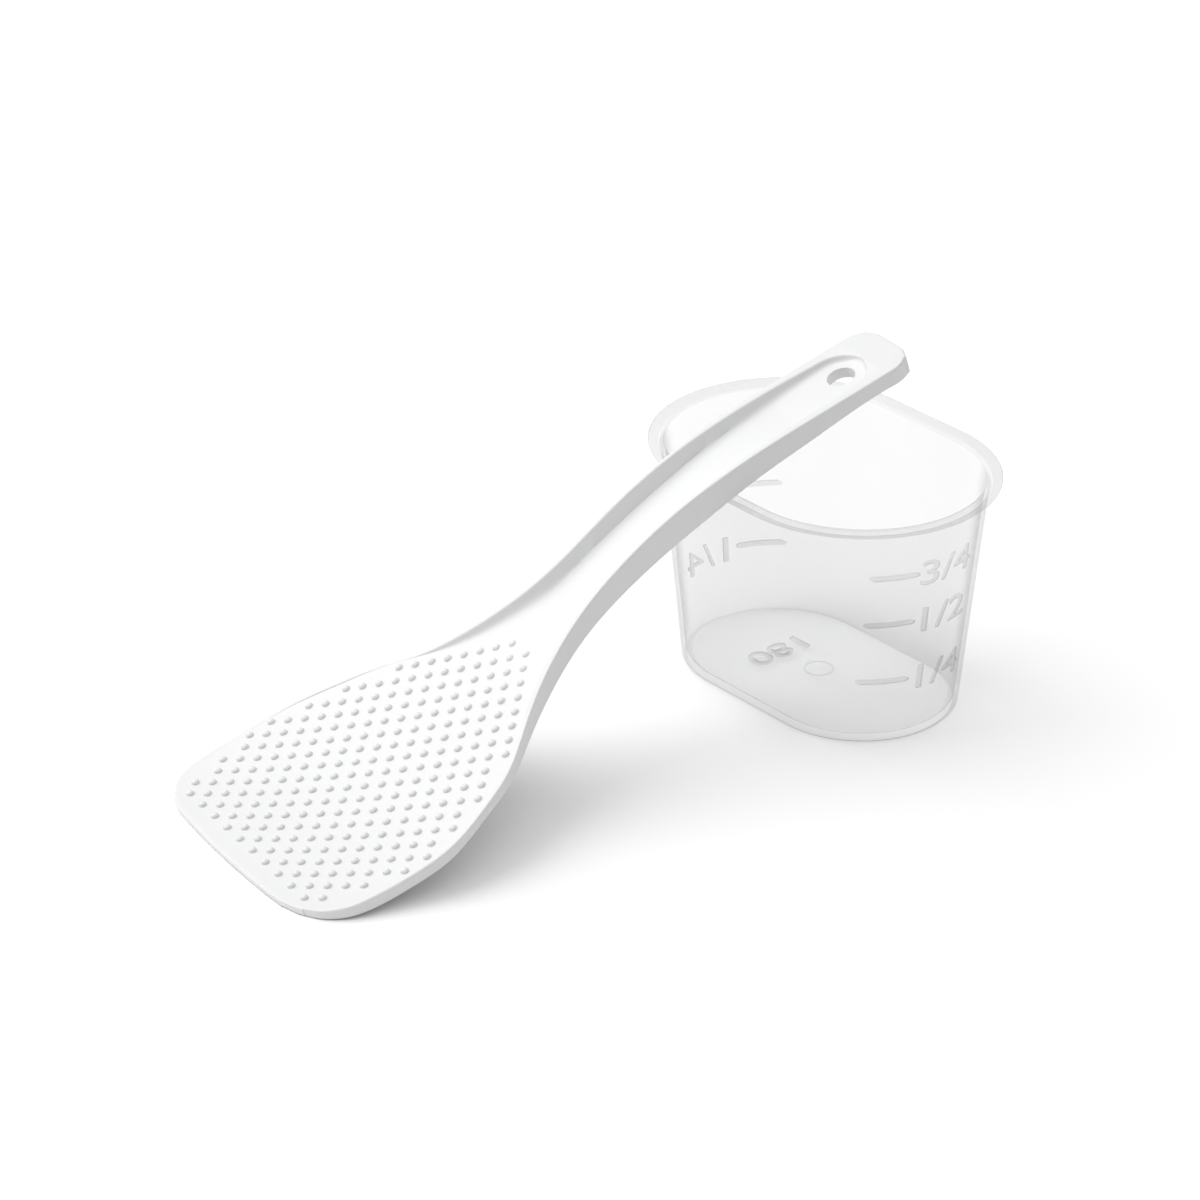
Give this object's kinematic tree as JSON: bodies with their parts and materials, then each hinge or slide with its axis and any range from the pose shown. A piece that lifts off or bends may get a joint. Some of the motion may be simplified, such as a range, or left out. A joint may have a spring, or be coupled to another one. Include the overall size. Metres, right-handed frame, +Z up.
{
  "type": "rice paddle and measuring cup set",
  "caption": "Clear oval measuring cup with a lipped rim and moulded fraction marks, with a white nubbed rice paddle leaning across the rim.",
  "frame": {"origin": "centre of the cup's underside, on the table", "axes": "+Z up; X along the cup's longer plan direction; Y along its shorter one, from the paddle's blade towards its handle end"},
  "size_m": [0.1, 0.1892, 0.0811],
  "materials": {
    "clear_plastic": "clear, glossy",
    "white_plastic": "satin white"
  },
  "bodies": {
    "cup": {"measuring_cup": "clear_plastic"},
    "paddle": {"rice_paddle": "white_plastic"}
  },
  "joints": [
    {"name": "paddle_lift", "type": "slide", "parent": "cup", "child": "paddle", "axis": [0, 0, 1], "range_m": [0, 0.12]}
  ]
}
